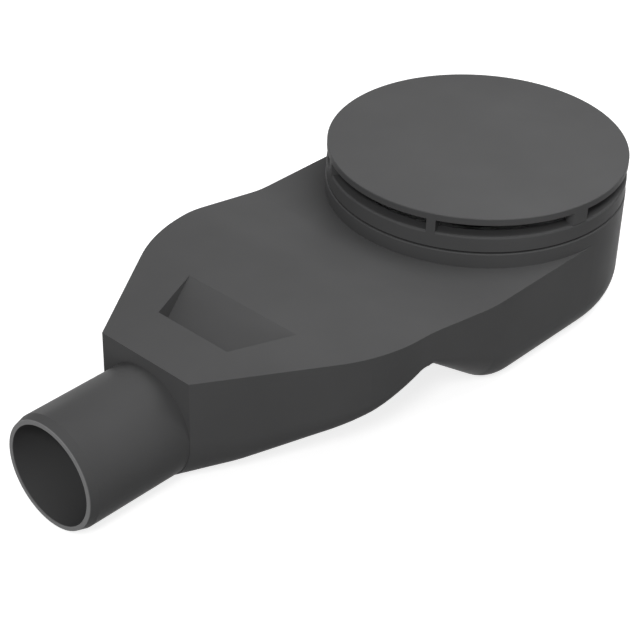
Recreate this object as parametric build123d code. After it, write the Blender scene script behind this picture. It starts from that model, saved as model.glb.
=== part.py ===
from build123d import *
import math
import os

# Shower trap with a wide, low body: a sump under the inlet, a weir arch and a flat outlet chamber.
# The hollow can't leave a mould in one piece, so a lower shell, a deck and a spigot are welded together.
# Sizes are in millimetres. +Z is up, the origin is on the inlet axis at the sump's flat underside,
# and +X runs out of the outlet, so the body is the same on both sides of the XZ plane.

# Outlet spigot
spigot_diameter = 50.0
spigot_wall = 3.0
spigot_length = 51.2
spigot_height = 25.7            # axis above the base
spigot_lead_length = 4.0        # tapered end that finds its way into a socket
spigot_lead_depth = 1.1

# Body, seen from above
body_radius = 68.8              # round end under the inlet, and half the width
wall = 3.0
outlet_face_x = 205.7           # inlet axis to the flat end face
outlet_face_margin = 0.2        # end face beyond the spigot, each side
shoulder_x = 137.0              # where the straight side would turn into the taper
shoulder_radius = 75.0

# Body, seen from the side
deck_low = 48.7                 # top of the body round the inlet
deck_high = 55.7                # top of the body over the outlet chamber
ramp_start_x = 71.0
ramp_end_x = 113.0
ramp_blend_radius = 60.0
sump_end_x = 60.9               # where the base would turn into the sump's far slope
sump_blend_radius = 25.0
arch_x = 112.0                  # the arch in the underside, which is the weir inside
arch_height = 40.9
arch_blend_radius = 10.0
chamber_steep_x = 138.3         # first bend of the chamber's underside
chamber_steep_height = 25.4
chamber_flat_x = 184.8          # last bend before the spigot
chamber_flat_height = 6.2
chamber_blend_radius = 60.0
sump_corner_radius = 17.75      # lower edge all round the sump
arch_corner_radius = 1.5        # the same edge at the arch
outlet_floor_flat = 0.8         # flat left between the two round corners at the end face

# Finger pocket in the deck: deepest at its outlet side, flush at its inlet side
pocket_start_x = 151.7
pocket_end_x = 179.8
pocket_start_half_width = 31.1
pocket_end_half_width = 19.95
pocket_depth = 11.7

# Inlet collar
collar_height = 7.0
collar_wall = 4.0
collar_edge_bevel = 0.4
ledge_width = 4.8               # deck left standing inside the collar, which carries the dip tube

# Cover: a disc on narrow posts and round pillars over a ring, all one moulding
cover_rim_setback = 0.3         # behind the collar's outer face
disc_thickness = 3.2
disc_edge_bevel = 0.3
slot_height = 6.0
ring_height = 7.2
ring_edge_radius = 1.0
post_width = 4.1
post_angles = (22.3, -34.5)     # from +X towards +Y, and again half a turn on
pillar_radius = 4.6
pillar_angle = 80.0
pillar_setback = 2.5            # its centre behind the rim
skirt_clearance = 0.5           # to the collar's bore
skirt_wall = 2.3

# Seals
collar_seal_thickness = 1.0
collar_seal_setback = 1.1       # behind the collar's outer face
dip_seal_thickness = 1.5

# Dip tube, a removable insert whose lower end stands in the sump's water
water_seal_depth = 30.0
flange_thickness = 2.0
flange_hold_down = 0.3          # gap under the cover's skirt
funnel_clearance = 0.6          # to the hole in the deck
funnel_drop = 3.8
dip_bore = 52.0
dip_wall = 2.2
strainer_seat_width = 8.0
strainer_seat_depth = 2.0

# Hair strainer, which lies in the dip tube's mouth
strainer_clearance = 0.4
strainer_thickness = 1.6
strainer_slot_count = 16
strainer_slot_width = 3.0
strainer_slot_inner = 9.0
strainer_slot_outer = 24.0
knob_radius = 4.0
knob_height = 9.0
knob_edge_bevel = 1.0

spigot_radius = spigot_diameter / 2
bore_radius = spigot_radius - spigot_wall
end_half_width = spigot_radius + outlet_face_margin
mouth_x = outlet_face_x + spigot_length
collar_top = deck_low + collar_height
collar_bore = body_radius - collar_wall
ledge_bore = collar_bore - ledge_width

cover_radius = body_radius - cover_rim_setback
skirt_radius = collar_bore - skirt_clearance
ring_bore = skirt_radius - skirt_wall
cover_bottom = collar_top + collar_seal_thickness
ring_top = cover_bottom + ring_height
disc_bottom = ring_top + slot_height

flange_bottom = deck_low + dip_seal_thickness
flange_top = flange_bottom + flange_thickness
funnel_radius = ledge_bore - funnel_clearance
dip_radius = dip_bore / 2
seat_radius = dip_radius + strainer_seat_width
seat_height = flange_top - funnel_drop - strainer_seat_depth

clear_above = 10.0              # how far cutting tools reach past the material
least_slice = 1.5               # shortest loft along the body
curved_section_count = 4        # in a loft that follows an arc


class BlendedLine:
    """Straight runs over x whose inner corners are rounded by tangent arcs."""

    def __init__(self, corners, radii):
        self.corners = corners
        self.arcs = []
        for start, corner, end, radius in zip(corners, corners[1:], corners[2:], radii):
            slope_in = math.atan2(corner[1] - start[1], corner[0] - start[0])
            slope_out = math.atan2(end[1] - corner[1], end[0] - corner[0])
            side = math.copysign(radius, slope_out - slope_in)
            reach = radius * math.tan(abs(slope_out - slope_in) / 2)
            first_x = corner[0] - reach * math.cos(slope_in)
            last_x = corner[0] + reach * math.cos(slope_out)
            centre_x = first_x - side * math.sin(slope_in)
            centre_y = corner[1] - reach * math.sin(slope_in) + side * math.cos(slope_in)
            self.arcs.append((first_x, last_x, centre_x, centre_y, side))

    def height_and_slope(self, x):
        for first_x, last_x, centre_x, centre_y, side in self.arcs:
            if first_x < x < last_x:
                rise = math.copysign(math.sqrt(side**2 - (x - centre_x) ** 2), side)
                return centre_y - rise, (x - centre_x) / rise
        for (x0, y0), (x1, y1) in zip(self.corners, self.corners[1:]):
            if x <= x1 or (x1, y1) == self.corners[-1]:
                slope = (y1 - y0) / (x1 - x0)
                return y0 + slope * (x - x0), slope

    def height(self, x):
        return self.height_and_slope(x)[0]

    def offset_height(self, x, margin):
        """Height of the line that runs margin away, measured square to this one."""
        height, slope = self.height_and_slope(x)
        return height + margin * math.hypot(1.0, slope)

    def is_curved(self, x):
        return any(first_x < x < last_x for first_x, last_x, *_ in self.arcs)


side_wall = BlendedLine(
    [(0.0, body_radius), (shoulder_x, body_radius), (outlet_face_x, end_half_width)],
    [shoulder_radius],
)
underside = BlendedLine(
    [
        (0.0, 0.0),
        (sump_end_x, 0.0),
        (arch_x, arch_height),
        (chamber_steep_x, chamber_steep_height),
        (chamber_flat_x, chamber_flat_height),
        (outlet_face_x, spigot_height - end_half_width),
    ],
    [sump_blend_radius, arch_blend_radius, chamber_blend_radius, chamber_blend_radius],
)
sump_blend_start, sump_blend_end = underside.arcs[0][:2]
weir_height = underside.height(arch_x) + wall
dip_end = weir_height - water_seal_depth


def corner_radius(x, inset):
    """Radius of the lower edge: round at the sump, nearly sharp at the arch, full round at the outlet."""
    sump = sump_corner_radius - inset
    arch = arch_corner_radius / 2 if inset else arch_corner_radius
    outlet = end_half_width - outlet_floor_flat / 2 - inset
    if x < arch_x:
        return arch + (sump - arch) * min(1.0, (arch_x - x) / (arch_x - sump_blend_end))
    return arch + (outlet - arch) * (x - arch_x) / (outlet_face_x - arch_x)


def body_section(x, inset):
    """Face across the body at x: flat floor, rounded lower corners and upright sides, to above the deck."""
    half = side_wall.offset_height(x, -inset)
    low = underside.offset_height(x, inset)
    radius = corner_radius(x, inset)
    top = deck_high + clear_above
    outline = [
        Line((half, top), (half, low + radius)),
        RadiusArc((half, low + radius), (half - radius, low), radius),
        Line((half - radius, low), (radius - half, low)),
        RadiusArc((radius - half, low), (-half, low + radius), radius),
        Line((-half, low + radius), (-half, top)),
        Line((-half, top), (half, top)),
    ]
    across = Plane(origin=(x, 0, 0), x_dir=(0, 1, 0), z_dir=(1, 0, 0))
    return across * make_face(Curve() + outline)


def body_slices(first, last, inset):
    """Lofts along the body, cut where a wall or the underside goes from straight to curved."""
    marks = [x for arc in side_wall.arcs + underside.arcs for x in arc[:2]] + [arch_x]
    stations = [first]
    for x in sorted(marks):
        if stations[-1] + least_slice < x < last - least_slice:
            stations.append(x)
    stations.append(last)
    slices = []
    for start, end in zip(stations, stations[1:]):
        middle = (start + end) / 2
        curved = side_wall.is_curved(middle) or underside.is_curved(middle)
        count = curved_section_count if curved else 2
        places = [start + (end - start) * step / (count - 1) for step in range(count)]
        slices.append(loft([body_section(x, inset) for x in places], ruled=not curved))
    return slices


def side_profile(points, half_depth):
    """Solid between the planes y = -half_depth and y = half_depth with this outline in x and z."""
    face = make_face(Polyline(*points, close=True))
    return extrude(Plane.XZ * face, half_depth, both=True)


def above_deck(drop):
    """Everything above the deck line lowered by drop."""
    high = deck_high + 3 * clear_above
    first_x = -2 * body_radius
    last_x = mouth_x + clear_above
    line = FilletPolyline(
        (first_x, deck_low - drop),
        (ramp_start_x, deck_low - drop),
        (ramp_end_x, deck_high - drop),
        (last_x, deck_high - drop),
        radius=ramp_blend_radius,
    )
    rest = Polyline((last_x, deck_high - drop), (last_x, high), (first_x, high), (first_x, deck_low - drop))
    return extrude(Plane.XZ * make_face(line + rest), 2 * body_radius, both=True)


def body_form(inset, last_x):
    """Outer form of sump and outlet chamber, or with an inset the hollow inside it."""
    seam_x = sump_blend_start
    radius = body_radius - inset
    plan = Circle(radius) & Pos(-radius, 0) * Rectangle(2 * radius, 2 * radius)
    plan += Pos(seam_x / 2, 0) * Rectangle(seam_x, 2 * radius)
    sump = extrude(Pos(0, 0, inset) * plan, deck_low - 2 * inset)
    rim = [
        edge
        for edge in sump.edges().group_by(Axis.Z)[0]
        if edge.center().X < seam_x - least_slice
    ]
    sump = fillet(rim, sump_corner_radius - inset)
    chamber = Part() + body_slices(seam_x, last_x, inset)
    return sump + (chamber - above_deck(inset))


def pocket_wedge(margin):
    """Finger pocket, or with a margin the wall round it."""
    slope = math.atan2(pocket_depth, pocket_end_x - pocket_start_x)
    floor_margin = margin / math.cos(slope)
    plan = Polyline(
        (pocket_start_x, pocket_start_half_width),
        (pocket_end_x, pocket_end_half_width),
        (pocket_end_x, -pocket_end_half_width),
        (pocket_start_x, -pocket_start_half_width),
        close=True,
    )
    prism = make_face(plan)
    if margin:
        prism = offset(prism, margin, kind=Kind.INTERSECTION)
    high = deck_high + clear_above
    start = pocket_start_x - margin
    end = pocket_end_x + margin
    start_z = deck_high - floor_margin + margin * math.tan(slope)
    end_z = deck_high - pocket_depth - floor_margin - margin * math.tan(slope)
    side = side_profile([(start, start_z), (end, end_z), (end, high), (start, high)], body_radius)
    return extrude(prism, high) & side


def make_shell():
    """Whole hollow of deck and lower shell, with the collar on top and a hole for the spigot's bore."""
    form = body_form(0.0, outlet_face_x)
    collar = Pos(0, 0, deck_low) * extrude(Circle(body_radius), collar_height)
    form += chamfer(collar.edges().group_by(Axis.Z)[-1], collar_edge_bevel)

    hollow = body_form(wall, outlet_face_x - wall) - pocket_wedge(wall)
    bore_start = outlet_face_x - 2 * wall
    bore = Plane(origin=(bore_start, 0, spigot_height), z_dir=(1, 0, 0)) * Circle(bore_radius)
    hollow += extrude(bore, 2 * wall + clear_above)
    hollow += Pos(0, 0, deck_low - wall) * extrude(Circle(ledge_bore), wall)
    hollow += Pos(0, 0, deck_low) * extrude(Circle(collar_bore), collar_height + clear_above)
    return form - hollow - pocket_wedge(0.0)


def make_spigot():
    """Tube turned about its own axis, with a tapered end, which stands on the outlet's end face."""
    profile = Polyline(
        (outlet_face_x, bore_radius),
        (mouth_x, bore_radius),
        (mouth_x, spigot_radius - spigot_lead_depth),
        (mouth_x - spigot_lead_length, spigot_radius),
        (outlet_face_x, spigot_radius),
        close=True,
    )
    return Pos(0, 0, spigot_height) * revolve(Plane.XZ * make_face(profile), Axis.X)


def ring(outer, inner, low, high):
    """Upright tube between two radii and two heights."""
    return Pos(0, 0, low) * extrude(Circle(outer) - Circle(inner), high - low)


def make_collar_seal():
    inner = collar_bore + skirt_clearance
    return ring(body_radius - collar_seal_setback, inner, collar_top, cover_bottom)


def make_cover():
    disc = Pos(0, 0, disc_bottom) * extrude(Circle(cover_radius), disc_thickness)
    disc = chamfer(disc.edges().group_by(Axis.Z)[-1], disc_edge_bevel)
    rim = ring(cover_radius, ring_bore, cover_bottom, ring_top)
    outer_edge = rim.edges().group_by(Axis.Z)[-1].sort_by(SortBy.RADIUS)[-1]
    rim = fillet(outer_edge, ring_edge_radius)
    skirt = ring(skirt_radius, ring_bore, flange_top + flange_hold_down, cover_bottom)
    cover = disc + rim + skirt

    post = Pos(cover_radius, 0) * Rectangle(3 * (cover_radius - ring_bore), post_width)
    pillar = Pos(cover_radius - pillar_setback, 0) * Circle(pillar_radius)
    posts = Sketch()
    pillars = Sketch()
    for half_turn in (0, 180):
        for angle in post_angles:
            posts += Rot(0, 0, angle + half_turn) * post
        pillars += Rot(0, 0, pillar_angle + half_turn) * pillar
    ring_plan = Circle(cover_radius) - Circle(ring_bore)
    foot = ring_top - 2 * ring_edge_radius      # the posts fill the ring's round edge, the pillars stand on it
    cover += extrude(Pos(0, 0, foot) * (posts & ring_plan), disc_bottom - foot)
    return cover + extrude(Pos(0, 0, ring_top) * (pillars & ring_plan), slot_height)


def make_dip_seal():
    return ring(skirt_radius, funnel_radius, deck_low, flange_bottom)


def make_dip_tube():
    """Flange, shallow funnel, strainer seat and tube, turned about the inlet axis."""
    outline = Polyline(
        (skirt_radius, flange_bottom),
        (skirt_radius, flange_top),
        (funnel_radius - flange_thickness, flange_top),
        (seat_radius, seat_height + strainer_seat_depth),
        (seat_radius, seat_height),
        (dip_radius, seat_height),
        (dip_radius, dip_end),
        (dip_radius + dip_wall, dip_end),
        (dip_radius + dip_wall, seat_height - dip_wall),
        (seat_radius + dip_wall, seat_height - dip_wall),
        (funnel_radius, flange_bottom - flange_thickness),
        (funnel_radius, flange_bottom),
        close=True,
    )
    return revolve(Plane.XZ * make_face(outline), Axis.Z)


def make_strainer():
    radius = seat_radius - strainer_clearance
    slot_length = strainer_slot_outer - strainer_slot_inner
    slot_middle = (strainer_slot_outer + strainer_slot_inner) / 2
    plate = Circle(radius)
    for turn in range(strainer_slot_count):
        slot = Pos(slot_middle, 0) * Rectangle(slot_length, strainer_slot_width)
        plate -= Rot(0, 0, turn * 360 / strainer_slot_count) * slot
    strainer = Pos(0, 0, seat_height) * extrude(plate, strainer_thickness)
    knob = Pos(0, 0, seat_height + strainer_thickness) * extrude(Circle(knob_radius), knob_height)
    knob = chamfer(knob.edges().group_by(Axis.Z)[-1], knob_edge_bevel)
    return strainer + knob


shell = make_shell()
deck_space = above_deck(wall) + pocket_wedge(wall)

parts = {
    "trap_body": shell - deck_space,
    "deck": shell & deck_space,
    "outlet_spigot": make_spigot(),
    "slotted_cover": make_cover(),
    "collar_seal": make_collar_seal(),
    "dip_tube": make_dip_tube(),
    "dip_tube_seal": make_dip_seal(),
    "hair_strainer": make_strainer(),
}

os.makedirs("parts", exist_ok=True)
for name, solid in parts.items():
    export_step(solid, os.path.join("parts", name + ".step"))
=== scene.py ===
import math

import bpy
import numpy as np
from bpy.props import FloatProperty, FloatVectorProperty, IntProperty, PointerProperty
from bpy.types import Operator, Panel, PropertyGroup
from mathutils import Matrix, Vector


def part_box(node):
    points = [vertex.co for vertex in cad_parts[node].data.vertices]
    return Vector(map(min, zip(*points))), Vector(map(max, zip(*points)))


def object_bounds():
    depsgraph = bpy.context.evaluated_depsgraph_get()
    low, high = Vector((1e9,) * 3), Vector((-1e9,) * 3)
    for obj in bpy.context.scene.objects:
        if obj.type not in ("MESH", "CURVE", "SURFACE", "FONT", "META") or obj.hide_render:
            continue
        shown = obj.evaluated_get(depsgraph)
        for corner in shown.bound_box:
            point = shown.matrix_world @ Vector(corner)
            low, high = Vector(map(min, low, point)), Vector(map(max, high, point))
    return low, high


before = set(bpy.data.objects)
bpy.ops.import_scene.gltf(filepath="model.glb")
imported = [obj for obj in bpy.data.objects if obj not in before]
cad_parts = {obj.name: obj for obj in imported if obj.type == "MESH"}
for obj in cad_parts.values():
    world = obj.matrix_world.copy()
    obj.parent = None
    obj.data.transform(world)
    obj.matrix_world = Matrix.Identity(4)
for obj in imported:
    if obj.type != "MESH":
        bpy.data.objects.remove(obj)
cad_low, cad_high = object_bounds()

bl_info = {
    "name": "Shower trap",
    "version": (1, 0, 0),
    "blender": (4, 5, 0),
    "location": "View3D > Sidebar > Shower trap",
    "description": "Finishes, floor, lights and camera for a low shower trap with a slotted cover",
    "category": "Object",
}

BODY = "trap_body"
DECK = "deck"
SPIGOT = "outlet_spigot"
COVER = "slotted_cover"
COLLAR_SEAL = "collar_seal"
INSERT = "dip_tube"
INSERT_SEAL = "dip_tube_seal"
STRAINER = "hair_strainer"

LAMPS = ("overhead", "key", "fill", "back", "rim")

# The part of a noise's range in which nearly all of its values lie
NOISE_LOW = 0.3
NOISE_HIGH = 0.7

# The plastic's finer points. CELLS is cells of noise to the metre, SPREAD is how far a value varies each
# way, and DEPTH is a height in metres.
PLASTIC_GLOSS = 0.015
INSERT_GLOSS = 0.4
CLOUD_CELLS = 22.0
CLOUD_SPREAD = 0.05
RUB_CELLS = 60.0
RUB_SPREAD = 0.035
RIPPLE_CELLS = 9.0
RIPPLE_STRENGTH = 0.25
RIPPLE_DEPTH = 0.0004

# The rubber's finer points, in the same units
RUBBER_GLOSS = 0.3
BLOOM_CELLS = 80.0
BLOOM_DARKEST = 0.8
BLOOM_PALEST = 1.25
BLOOM_SPREAD = 0.06
SKIN_CELLS = 1800.0
SKIN_DEPTH = 0.00002

# The floor: its diffuse as a multiple of the shadow's depth, and the spokes that its faces lie between
SHADOW_GAIN = 3
FLOOR_SPOKES = 96

# The camera: its sensor in millimetres, and the nearest distance that it sees in metres
SENSOR_WIDTH = 36.0
NEAREST_SEEN = 0.01


# Kinds of setting


def colour_setting(name, description, default):
    return FloatVectorProperty(name=name, description=description, subtype="COLOR", size=3, default=default)


def length_setting(name, description, default):
    return FloatProperty(
        name=name, description=description, subtype="DISTANCE", unit="LENGTH", default=default
    )


def place_setting(name, description, default):
    return FloatVectorProperty(
        name=name, description=description, subtype="TRANSLATION", unit="LENGTH", size=3, default=default
    )


def angle_setting(name, description, degrees):
    return FloatProperty(
        name=name, description=description, subtype="ANGLE", unit="ROTATION", default=math.radians(degrees)
    )


def power_setting(name, description, default):
    return FloatProperty(name=name, description=description, unit="POWER", default=default)


def share_setting(name, description, default):
    return FloatProperty(name=name, description=description, min=0.0, max=1.0, default=default)


# Sizes and colours that a user would change


class MouldedPlastic(PropertyGroup):
    body_colour: colour_setting(
        "Body colour", "Colour of the trap body's plastic", (0.088, 0.088, 0.089)
    )
    cover_colour: colour_setting(
        "Cover colour", "Colour of the slotted cover's plastic", (0.088, 0.088, 0.089)
    )
    # Painted highlight on the spigot's mouth rim: the paler colour, and how far back from the end it reaches
    rim_highlight_colour: colour_setting(
        "Rim highlight colour", "Paler colour of the spigot's cut end", (0.25, 0.25, 0.252)
    )
    rim_highlight_depth: length_setting(
        "Rim highlight depth", "How far the paler colour reaches back from the spigot's end", 0.0005
    )
    insert_colour: colour_setting(
        "Insert colour", "Colour of the dip tube's plastic", (0.34, 0.35, 0.36)
    )
    strainer_colour: colour_setting(
        "Strainer colour", "Colour of the hair strainer's plastic", (0.10, 0.10, 0.105)
    )
    roughness: share_setting("Roughness", "How dull the moulded faces are", 0.42)
    grain_size: length_setting("Grain size", "Width of one pit of the mould's fine grain", 0.0005)
    grain_depth: length_setting("Grain depth", "Depth of the mould's fine grain", 0.000012)


class SealRubber(PropertyGroup):
    colour: colour_setting("Colour", "Colour of the seals", (0.018, 0.018, 0.018))
    roughness: share_setting("Roughness", "How dull the seals are", 0.7)


class StudioStage(PropertyGroup):
    floor_radius: length_setting("Floor radius", "Half the width of the round floor", 6.0)
    floor_rings: IntProperty(
        name="Floor rings",
        description="Rings of faces from the floor's middle to its edge",
        min=4,
        default=24,
    )
    floor_colour: colour_setting(
        "Floor colour", "Colour that the floor lends to the light under the object", (0.20, 0.20, 0.20)
    )
    floor_shadow: share_setting(
        "Floor shadow", "How dark the object's shadow on the white floor is", 0.22
    )
    overhead_power: power_setting("Overhead power", "Power of the soft lamp above the inlet", 0.63)
    overhead_place: place_setting(
        "Overhead place", "Where the soft lamp above the inlet stands", (0.01, 0.07, 0.34)
    )
    key_power: power_setting("Key power", "Power of the soft lamp on the camera's side", 7.0)
    key_place: place_setting(
        "Key place", "Where the soft lamp on the camera's side stands", (1.1, 0.66, 1.1)
    )
    fill_power: power_setting("Fill power", "Power of the soft lamp low down on the outlet's side", 3.1)
    fill_place: place_setting(
        "Fill place", "Where the soft lamp low down on the outlet's side stands", (1.55, 0.5, 0.2)
    )
    back_power: power_setting("Back power", "Power of the soft lamp behind the inlet", 0.5)
    back_place: place_setting(
        "Back place", "Where the soft lamp behind the inlet stands", (-0.6, 0.05, 0.4)
    )
    rim_power: power_setting("Rim power", "Power of the soft lamp low down behind the spigot", 1.0)
    rim_place: place_setting(
        "Rim place", "Where the soft lamp low down behind the spigot stands", (-0.3, -1.0, 0.15)
    )
    lamp_width: length_setting("Lamp width", "Width of each soft lamp", 0.3)
    lamp_aim: place_setting("Lamp aim", "The place on the object that every lamp faces", (0.1, 0.0, 0.03))
    room_light: FloatProperty(
        name="Room light",
        description="Strength of the even light from all round",
        min=0.0,
        default=0.34,
    )
    camera_azimuth: angle_setting("Camera azimuth", "Turn of the camera round the object", 133.505)
    camera_elevation: angle_setting("Camera elevation", "How far the camera looks down", 34.663)
    camera_roll: angle_setting("Camera roll", "Turn of the camera about its line of sight", 0.823)
    camera_place: place_setting("Camera place", "Where the camera stands", (0.59224, 0.44117, 0.47108))
    camera_lens: FloatProperty(
        name="Camera lens",
        description="Focal length in millimetres on a sensor 36 mm wide",
        subtype="DISTANCE_CAMERA",
        default=102.53,
    )
    camera_shift: FloatVectorProperty(
        name="Camera shift",
        description="How far the picture is cut off centre, right and up, as a share of its width",
        size=2,
        default=(0.0594, 0.0252),
    )


# Materials


def new_material(name):
    """An empty node material, its tree and its output."""
    material = bpy.data.materials.new(name)
    material.use_nodes = True
    tree = material.node_tree
    tree.nodes.clear()
    output = tree.nodes.new("ShaderNodeOutputMaterial")
    return material, tree, output


def noise(tree, place, cells, detail, roughness=0.5):
    """Noise of this many cells to the metre, read at this place."""
    node = tree.nodes.new("ShaderNodeTexNoise")
    node.inputs["Scale"].default_value = cells
    node.inputs["Detail"].default_value = detail
    node.inputs["Roughness"].default_value = roughness
    tree.links.new(place, node.inputs["Vector"])
    return node.outputs["Fac"]


def spread(tree, value, low, high):
    """The middle of a noise's range carried to low and high."""
    node = tree.nodes.new("ShaderNodeMapRange")
    node.inputs["From Min"].default_value = NOISE_LOW
    node.inputs["From Max"].default_value = NOISE_HIGH
    node.inputs["To Min"].default_value = low
    node.inputs["To Max"].default_value = high
    tree.links.new(value, node.inputs["Value"])
    return node.outputs["Result"]


def spread_about(tree, value, middle, reach):
    """A noise carried to this reach on both sides of a middle value."""
    return spread(tree, value, middle - reach, middle + reach)


def tinted(tree, colour, share):
    """The colour, lightened or darkened by a share that varies over the surface."""
    node = tree.nodes.new("ShaderNodeMix")
    node.data_type = "RGBA"
    node.blend_type = "MULTIPLY"
    node.inputs["Factor"].default_value = 1.0
    node.inputs["A"].default_value = (*colour, 1.0)
    tree.links.new(share, node.inputs["B"])
    return node.outputs["Result"]


def painted_rim_highlight(tree, place, colour, settings):
    """The colour, turning paler over the last of the spigot's length up to its end: a painted highlight on
    the mouth's rim.
    """
    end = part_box(SPIGOT)[1].x
    along = tree.nodes.new("ShaderNodeSeparateXYZ")
    tree.links.new(place, along.inputs["Vector"])
    share = tree.nodes.new("ShaderNodeMapRange")
    share.inputs["From Min"].default_value = end - settings.rim_highlight_depth
    share.inputs["From Max"].default_value = end
    tree.links.new(along.outputs["X"], share.inputs["Value"])
    node = tree.nodes.new("ShaderNodeMix")
    node.data_type = "RGBA"
    tree.links.new(share.outputs["Result"], node.inputs["Factor"])
    tree.links.new(colour, node.inputs["A"])
    node.inputs["B"].default_value = (*settings.rim_highlight_colour, 1.0)
    return node.outputs["Result"]


def bumped(tree, height, depth, strength=1.0, under=None):
    """Surface direction that this height gives, laid over another one where there is one."""
    node = tree.nodes.new("ShaderNodeBump")
    node.inputs["Strength"].default_value = strength
    node.inputs["Distance"].default_value = depth
    tree.links.new(height, node.inputs["Height"])
    if under is not None:
        tree.links.new(under, node.inputs["Normal"])
    return node.outputs["Normal"]


def moulded_plastic(name, colour, settings, gloss=PLASTIC_GLOSS, with_rim_highlight=False):
    """Moulded plastic: even colour with faint cloudiness, a fine mould grain and slow ripples."""
    material, tree, output = new_material(name)
    place = tree.nodes.new("ShaderNodeTexCoord").outputs["Object"]
    shader = tree.nodes.new("ShaderNodeBsdfPrincipled")
    shader.inputs["Specular IOR Level"].default_value = gloss

    cloud = noise(tree, place, CLOUD_CELLS, detail=3.0)
    shade = tinted(tree, colour, spread_about(tree, cloud, 1.0, CLOUD_SPREAD))
    # Painted highlight: where asked, the colour turns paler at the spigot's end, standing in for light
    # caught on the mouth's rim
    if with_rim_highlight:
        shade = painted_rim_highlight(tree, place, shade, settings)
    tree.links.new(shade, shader.inputs["Base Color"])

    rubbed = noise(tree, place, RUB_CELLS, detail=4.0)
    dullness = spread_about(tree, rubbed, settings.roughness, RUB_SPREAD)
    tree.links.new(dullness, shader.inputs["Roughness"])

    waves = noise(tree, place, RIPPLE_CELLS, detail=1.0)
    ripple = bumped(tree, waves, RIPPLE_DEPTH, RIPPLE_STRENGTH)
    pits = noise(tree, place, 1.0 / settings.grain_size, detail=2.0, roughness=0.6)
    grain = bumped(tree, pits, settings.grain_depth, under=ripple)
    tree.links.new(grain, shader.inputs["Normal"])
    tree.links.new(shader.outputs["BSDF"], output.inputs["Surface"])
    return material


def seal_rubber(name, settings):
    """Soft black rubber with a bloom of dust and a faint skin texture."""
    material, tree, output = new_material(name)
    place = tree.nodes.new("ShaderNodeTexCoord").outputs["Object"]
    shader = tree.nodes.new("ShaderNodeBsdfPrincipled")
    shader.inputs["Specular IOR Level"].default_value = RUBBER_GLOSS

    bloom = noise(tree, place, BLOOM_CELLS, detail=3.0)
    shade = tinted(tree, settings.colour, spread(tree, bloom, BLOOM_DARKEST, BLOOM_PALEST))
    tree.links.new(shade, shader.inputs["Base Color"])
    dullness = spread_about(tree, bloom, settings.roughness, BLOOM_SPREAD)
    tree.links.new(dullness, shader.inputs["Roughness"])

    skin = bumped(tree, noise(tree, place, SKIN_CELLS, detail=2.0), SKIN_DEPTH)
    tree.links.new(skin, shader.inputs["Normal"])
    tree.links.new(shader.outputs["BSDF"], output.inputs["Surface"])
    return material


def seen_directly(tree):
    """1 for what the camera, a gloss or a clear thing looks at, and 0 for the light that falls on things."""
    path = tree.nodes.new("ShaderNodeLightPath")
    total = path.outputs["Is Camera Ray"]
    for kind in ("Is Glossy Ray", "Is Transmission Ray"):
        add = tree.nodes.new("ShaderNodeMath")
        add.operation = "ADD"
        add.use_clamp = True
        tree.links.new(total, add.inputs[0])
        tree.links.new(path.outputs[kind], add.inputs[1])
        total = add.outputs["Value"]
    return total


def floor_material(name, colour, shadow):
    """Matt floor that lends its own colour to the light, and looks white where no shadow lies.

    Its white is a glow of 1 less the shadow's depth, and a diffuse of three times that depth. The two
    together come to 1 or more wherever a third or more of the plain light falls.
    """
    material, tree, output = new_material(name)
    lent = tree.nodes.new("ShaderNodeBsdfDiffuse")
    lent.inputs["Color"].default_value = (*colour, 1.0)
    shaded = tree.nodes.new("ShaderNodeBsdfDiffuse")
    level = SHADOW_GAIN * shadow
    shaded.inputs["Color"].default_value = (level, level, level, 1.0)
    glow = tree.nodes.new("ShaderNodeEmission")
    glow.inputs["Strength"].default_value = 1.0 - shadow
    white = tree.nodes.new("ShaderNodeAddShader")
    tree.links.new(shaded.outputs["BSDF"], white.inputs[0])
    tree.links.new(glow.outputs["Emission"], white.inputs[1])
    choice = tree.nodes.new("ShaderNodeMixShader")
    tree.links.new(seen_directly(tree), choice.inputs[0])
    tree.links.new(lent.outputs["BSDF"], choice.inputs[1])
    tree.links.new(white.outputs["Shader"], choice.inputs[2])
    tree.links.new(choice.outputs["Shader"], output.inputs["Surface"])
    return material


def white_room(world, room_light):
    """Sky that is white to look at and lights the object at its own plain level."""
    world.use_nodes = True
    tree = world.node_tree
    tree.nodes.clear()
    output = tree.nodes.new("ShaderNodeOutputWorld")
    background = tree.nodes.new("ShaderNodeBackground")
    background.inputs["Color"].default_value = (1.0, 1.0, 1.0, 1.0)
    strength = tree.nodes.new("ShaderNodeMapRange")
    strength.inputs["To Min"].default_value = room_light
    strength.inputs["To Max"].default_value = 1.0
    tree.links.new(seen_directly(tree), strength.inputs["Value"])
    tree.links.new(strength.outputs["Result"], background.inputs["Strength"])
    tree.links.new(background.outputs["Background"], output.inputs["Surface"])


def finish_node(name, material):
    """Gives every slot of a CAD node this material."""
    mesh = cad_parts[name].data
    if not mesh.materials:
        mesh.materials.append(material)
    for index in range(len(mesh.materials)):
        mesh.materials[index] = material


# Surfaces


def disc_surface(radius, rings, spokes):
    """Flat round sheet at height 0.

    A point is (r cos a, r sin a, 0), where a goes once round in even steps and r grows with the
    square of the ring's share of the radius, so the faces are small in the middle and large outside.
    """
    share = np.linspace(0.0, 1.0, rings + 1)[1:]
    reach, angle = np.meshgrid(radius * share**2, np.arange(spokes) * 2 * np.pi / spokes, indexing="ij")
    points = np.stack([reach * np.cos(angle), reach * np.sin(angle), np.zeros_like(reach)], axis=-1)
    points = np.concatenate([np.zeros((1, 3)), points.reshape(-1, 3)])
    here = np.arange(spokes) + 1
    ahead = np.roll(here, -1)
    fan = np.stack([np.zeros_like(here), here, ahead], axis=-1)
    ring = np.arange(rings - 1)[:, None] * spokes
    bands = np.stack([ring + here, ring + here + spokes, ring + ahead + spokes, ring + ahead], axis=-1)
    return points, fan.tolist() + bands.reshape(-1, 4).tolist()


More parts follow.
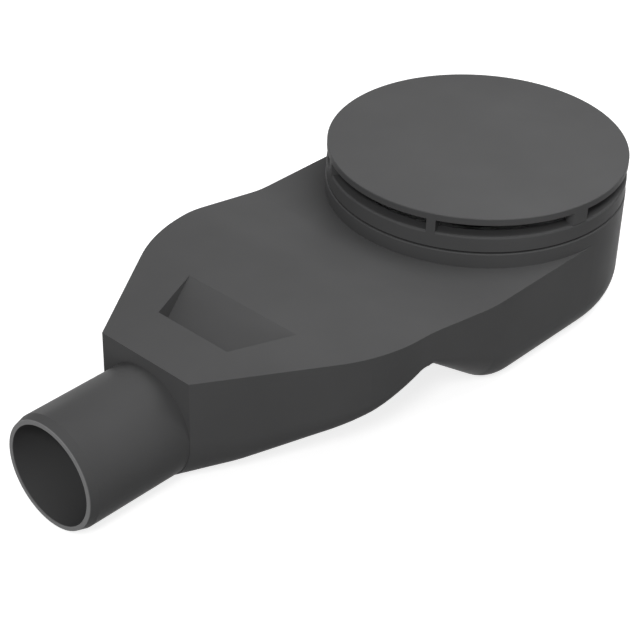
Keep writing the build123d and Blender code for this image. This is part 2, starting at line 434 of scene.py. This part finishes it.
def mesh_object(name, points, faces, material):
    """A new smooth-shaded object at the origin with these points and faces."""
    mesh = bpy.data.meshes.new(name)
    mesh.from_pydata(points, [], faces)
    mesh.materials.append(material)
    mesh.polygons.foreach_set("use_smooth", np.ones(len(mesh.polygons), bool))
    piece = bpy.data.objects.new(name, mesh)
    bpy.context.scene.collection.objects.link(piece)
    return piece


# Lamps


def soft_lamp(name, place, power, settings):
    """Round area lamp at this place, turned to face the stage's aim."""
    light = bpy.data.lights.new(name, "AREA")
    light.shape = "DISK"
    light.size = settings.lamp_width
    light.energy = power
    lamp = bpy.data.objects.new(name, light)
    lamp.location = place
    lamp.rotation_euler = (Vector(place) - Vector(settings.lamp_aim)).to_track_quat("Z", "Y").to_euler()
    bpy.context.scene.collection.objects.link(lamp)


# Operators


class TRAP_OT_body(Operator):
    """Finishes the welded shell, deck and spigot in one dark plastic, with a painted highlight at the
    spigot's end
    """

    bl_idname = "trap.body"
    bl_label = "Trap body"

    def execute(self, context):
        settings = context.scene.trap_plastic
        plastic = moulded_plastic("body plastic", settings.body_colour, settings)
        for name in (BODY, DECK):
            finish_node(name, plastic)
        # The spigot has its own material, which carries the painted highlight at its end
        finish_node(SPIGOT, moulded_plastic("spigot plastic", settings.body_colour, settings, with_rim_highlight=True))
        return {"FINISHED"}


class TRAP_OT_cover(Operator):
    """Finishes the slotted cover in dark plastic"""

    bl_idname = "trap.cover"
    bl_label = "Slotted cover"

    def execute(self, context):
        settings = context.scene.trap_plastic
        finish_node(COVER, moulded_plastic("cover plastic", settings.cover_colour, settings))
        return {"FINISHED"}


class TRAP_OT_insert(Operator):
    """Finishes the dip tube and the hair strainer that lies in it"""

    bl_idname = "trap.insert"
    bl_label = "Dip tube and strainer"

    def execute(self, context):
        settings = context.scene.trap_plastic
        pale = moulded_plastic("insert plastic", settings.insert_colour, settings, gloss=INSERT_GLOSS)
        finish_node(INSERT, pale)
        finish_node(STRAINER, moulded_plastic("strainer plastic", settings.strainer_colour, settings))
        return {"FINISHED"}


class TRAP_OT_seals(Operator):
    """Finishes the collar seal and the dip tube's seal in black rubber"""

    bl_idname = "trap.seals"
    bl_label = "Seals"

    def execute(self, context):
        rubber = seal_rubber("seal rubber", context.scene.trap_rubber)
        finish_node(COLLAR_SEAL, rubber)
        finish_node(INSERT_SEAL, rubber)
        return {"FINISHED"}


class TRAP_OT_stage(Operator):
    """Sets up the floor, the lights and the camera"""

    bl_idname = "trap.stage"
    bl_label = "Stage"

    def execute(self, context):
        settings = context.scene.trap_stage
        points, faces = disc_surface(settings.floor_radius, settings.floor_rings, FLOOR_SPOKES)
        points[:, 2] = cad_low.z
        paint = floor_material("floor paint", settings.floor_colour, settings.floor_shadow)
        mesh_object("floor", points, faces, paint)

        world = bpy.data.worlds.new("white room")
        context.scene.world = world
        white_room(world, settings.room_light)

        for name in LAMPS:
            place = getattr(settings, f"{name}_place")
            power = getattr(settings, f"{name}_power")
            soft_lamp(f"{name} lamp", place, power, settings)

        self.place_camera(context, settings)
        context.scene.view_settings.view_transform = "Standard"
        return {"FINISHED"}

    def place_camera(self, context, settings):
        """Camera whose axes are worked out from its azimuth, elevation and roll."""
        azimuth = settings.camera_azimuth
        elevation = settings.camera_elevation
        level = math.cos(elevation)
        back = Vector((math.sin(azimuth) * level, -math.cos(azimuth) * level, math.sin(elevation)))
        right = Vector((math.cos(azimuth), math.sin(azimuth), 0.0))
        turned = Matrix((right, back.cross(right), back)).transposed()
        turned = turned @ Matrix.Rotation(settings.camera_roll, 3, "Z")
        camera = bpy.data.cameras.new("camera")
        camera.sensor_width = SENSOR_WIDTH
        camera.lens = settings.camera_lens
        camera.shift_x, camera.shift_y = settings.camera_shift
        camera.clip_start = NEAREST_SEEN
        viewer = bpy.data.objects.new("camera", camera)
        viewer.matrix_world = Matrix.Translation(settings.camera_place) @ turned.to_4x4()
        context.scene.collection.objects.link(viewer)
        context.scene.camera = viewer


class TRAP_PT_panel(Panel):
    """Lists the trap's pieces and the stage with their sizes and colours"""

    bl_idname = "TRAP_PT_panel"
    bl_label = "Shower trap"
    bl_space_type = "VIEW_3D"
    bl_region_type = "UI"
    bl_category = "Shower trap"

    def draw(self, context):
        for settings in (context.scene.trap_plastic, context.scene.trap_rubber, context.scene.trap_stage):
            box = self.layout.box()
            for name in settings.__annotations__:
                box.prop(settings, name)
        for operator in OPERATORS:
            self.layout.operator(operator.bl_idname)


OPERATORS = (TRAP_OT_body, TRAP_OT_cover, TRAP_OT_insert, TRAP_OT_seals, TRAP_OT_stage)
CLASSES = (MouldedPlastic, SealRubber, StudioStage, *OPERATORS, TRAP_PT_panel)


def register():
    for item in CLASSES:
        bpy.utils.register_class(item)
    bpy.types.Scene.trap_plastic = PointerProperty(type=MouldedPlastic)
    bpy.types.Scene.trap_rubber = PointerProperty(type=SealRubber)
    bpy.types.Scene.trap_stage = PointerProperty(type=StudioStage)


def unregister():
    del bpy.types.Scene.trap_stage
    del bpy.types.Scene.trap_rubber
    del bpy.types.Scene.trap_plastic
    for item in reversed(CLASSES):
        bpy.utils.unregister_class(item)


def main():
    register()
    bpy.ops.trap.body()
    bpy.ops.trap.cover()
    bpy.ops.trap.insert()
    bpy.ops.trap.seals()
    bpy.ops.trap.stage()


if __name__ == "__main__":
    main()
